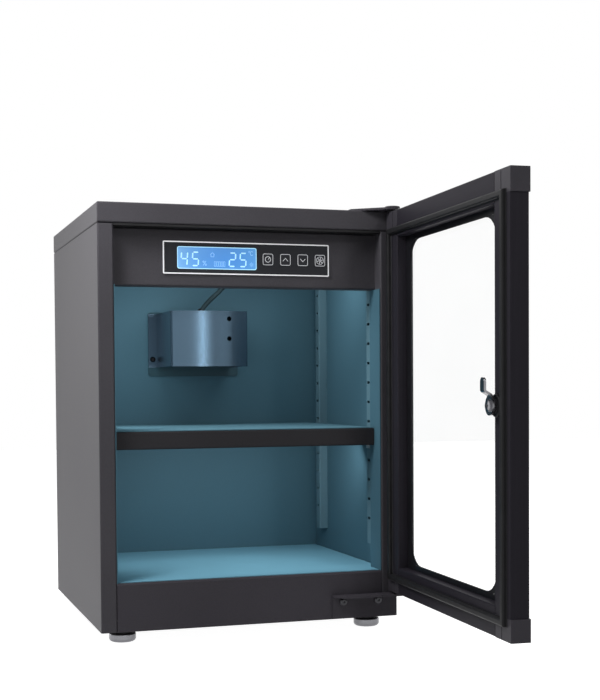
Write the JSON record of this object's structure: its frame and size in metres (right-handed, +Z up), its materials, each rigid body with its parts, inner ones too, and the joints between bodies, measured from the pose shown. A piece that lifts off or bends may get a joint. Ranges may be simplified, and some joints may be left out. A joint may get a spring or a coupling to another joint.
{
  "type": "electronic dry cabinet",
  "caption": "Bench-top electronic dry cabinet with a glazed locking door, an inner shelf, a back-wall drying unit, a display panel and levelling feet.",
  "frame": {"origin": "centre of the body's footprint, on the surface that the four feet stand on", "axes": "+Z up; -Y is the front, where the door is; +X is the hinge side, on the right of someone facing the front"},
  "size_m": [0.3077, 0.6109, 0.424],
  "materials": {
    "steel_shell": "fine-texture charcoal powder coat",
    "frame_black": "satin black powder coat",
    "chamber_sheet": "smooth blue-grey coat",
    "mat_blue": "closed-cell foam, matt",
    "shelf_coat": "satin black",
    "rail_grey": "satin grey coat",
    "zinc": "bright zinc plate",
    "stainless": "upright brushed grain",
    "black_plastic": "moulded, slightly matt",
    "panel_black": "overlay film, fine texture",
    "silver_trim": "satin silver line",
    "display": "backlit blue",
    "board_green": "solder resist",
    "rubber_black": "soft, matt",
    "cable_black": "smooth jacket",
    "door_alu": "black anodised, satin",
    "glass": "clear float glass",
    "border_black": "black enamel",
    "chrome": "bright plate",
    "sink_alu": "plain extruded",
    "ceramic": "white ceramic faces",
    "foot_metal": "turned and polished"
  },
  "bodies": {
    "cabinet": {"back_panel": "steel_shell", "base_pan": "frame_black", "bottom_rail": "frame_black", "cable_fixings": "rubber_black", "case_screws": "zinc", "chamber_back": "chamber_sheet", "chamber_ceiling": "chamber_sheet", "chamber_floor": "chamber_sheet", "chamber_wall_left": "chamber_sheet", "chamber_wall_right": "chamber_sheet", "cold_sink": "sink_alu", "control_board": "board_green", "control_box": "black_plastic", "dryer_cable": "cable_black", "dryer_cover": "stainless", "dryer_plate": "black_plastic", "fascia": "steel_shell", "floor_mat": "mat_blue", "foot_collars": "black_plastic", "foot_nuts": "zinc", "hinge_bracket_bottom": "frame_black", "hinge_pins": "frame_black", "hinge_plate_top": "frame_black", "hot_sink": "sink_alu", "humidity_probe": "black_plastic", "inlet_jack": "black_plastic", "landing_strip": "rubber_black", "lcd_glass": "display", "panel_overlay": "panel_black", "panel_trim": "silver_trim", "peltier_module": "ceramic", "power_board": "board_green", "shelf_clips": "zinc", "shelf_rails": "rail_grey", "side_panel_left": "steel_shell", "side_panel_right": "steel_shell", "top_cover": "steel_shell"},
    "door": {"door_stile_hinge": "door_alu", "door_stile_free": "door_alu", "door_rail_top": "door_alu", "door_rail_bottom": "door_alu", "door_caps": "black_plastic", "door_glass": "glass", "door_border": "border_black", "door_gasket": "rubber_black", "lock_barrel": "chrome", "lock_nut": "black_plastic", "hinge_bushes": "black_plastic"},
    "lock_core": {"lock_plug": "chrome", "lock_cam": "chrome"},
    "shelf_tray": {"shelf": "shelf_coat", "shelf_mat": "mat_blue"},
    "key_body_1": {"key_1": "panel_black"},
    "key_body_2": {"key_2": "panel_black"},
    "key_body_3": {"key_3": "panel_black"},
    "key_body_4": {"key_4": "panel_black"},
    "foot_body_front_left": {"foot_front_left": "foot_metal"},
    "foot_body_front_right": {"foot_front_right": "foot_metal"},
    "foot_body_rear_left": {"foot_rear_left": "foot_metal"},
    "foot_body_rear_right": {"foot_rear_right": "foot_metal"}
  },
  "joints": [
    {"name": "door_swing", "type": "hinge", "parent": "cabinet", "child": "door", "pos_m": [0.1445, -0.1608, 0], "axis": [0, 0, 1], "range_deg": [-87.3, 22.7]},
    {"name": "lock_turn", "type": "hinge", "parent": "door", "child": "lock_core", "pos_m": [0.12731, -0.42979, 0.22825], "axis": [0.9989, -0.0471, 0], "range_deg": [0, 90]},
    {"name": "shelf_slide", "type": "slide", "parent": "cabinet", "child": "shelf_tray", "axis": [0, -1, 0], "range_m": [0, 0.17]},
    {"name": "key_press_1", "type": "slide", "parent": "cabinet", "child": "key_body_1", "axis": [0, 1, 0], "range_m": [0, 0.0006], "stiffness_N_per_m": 800},
    {"name": "key_press_2", "type": "slide", "parent": "cabinet", "child": "key_body_2", "axis": [0, 1, 0], "range_m": [0, 0.0006], "stiffness_N_per_m": 800},
    {"name": "key_press_3", "type": "slide", "parent": "cabinet", "child": "key_body_3", "axis": [0, 1, 0], "range_m": [0, 0.0006], "stiffness_N_per_m": 800},
    {"name": "key_press_4", "type": "slide", "parent": "cabinet", "child": "key_body_4", "axis": [0, 1, 0], "range_m": [0, 0.0006], "stiffness_N_per_m": 800},
    {"name": "foot_level_front_left", "type": "slide", "parent": "cabinet", "child": "foot_body_front_left", "axis": [0, 0, -1], "range_m": [0, 0.006]},
    {"name": "foot_level_front_right", "type": "slide", "parent": "cabinet", "child": "foot_body_front_right", "axis": [0, 0, -1], "range_m": [0, 0.006]},
    {"name": "foot_level_rear_left", "type": "slide", "parent": "cabinet", "child": "foot_body_rear_left", "axis": [0, 0, -1], "range_m": [0, 0.006]},
    {"name": "foot_level_rear_right", "type": "slide", "parent": "cabinet", "child": "foot_body_rear_right", "axis": [0, 0, -1], "range_m": [0, 0.006]}
  ]
}
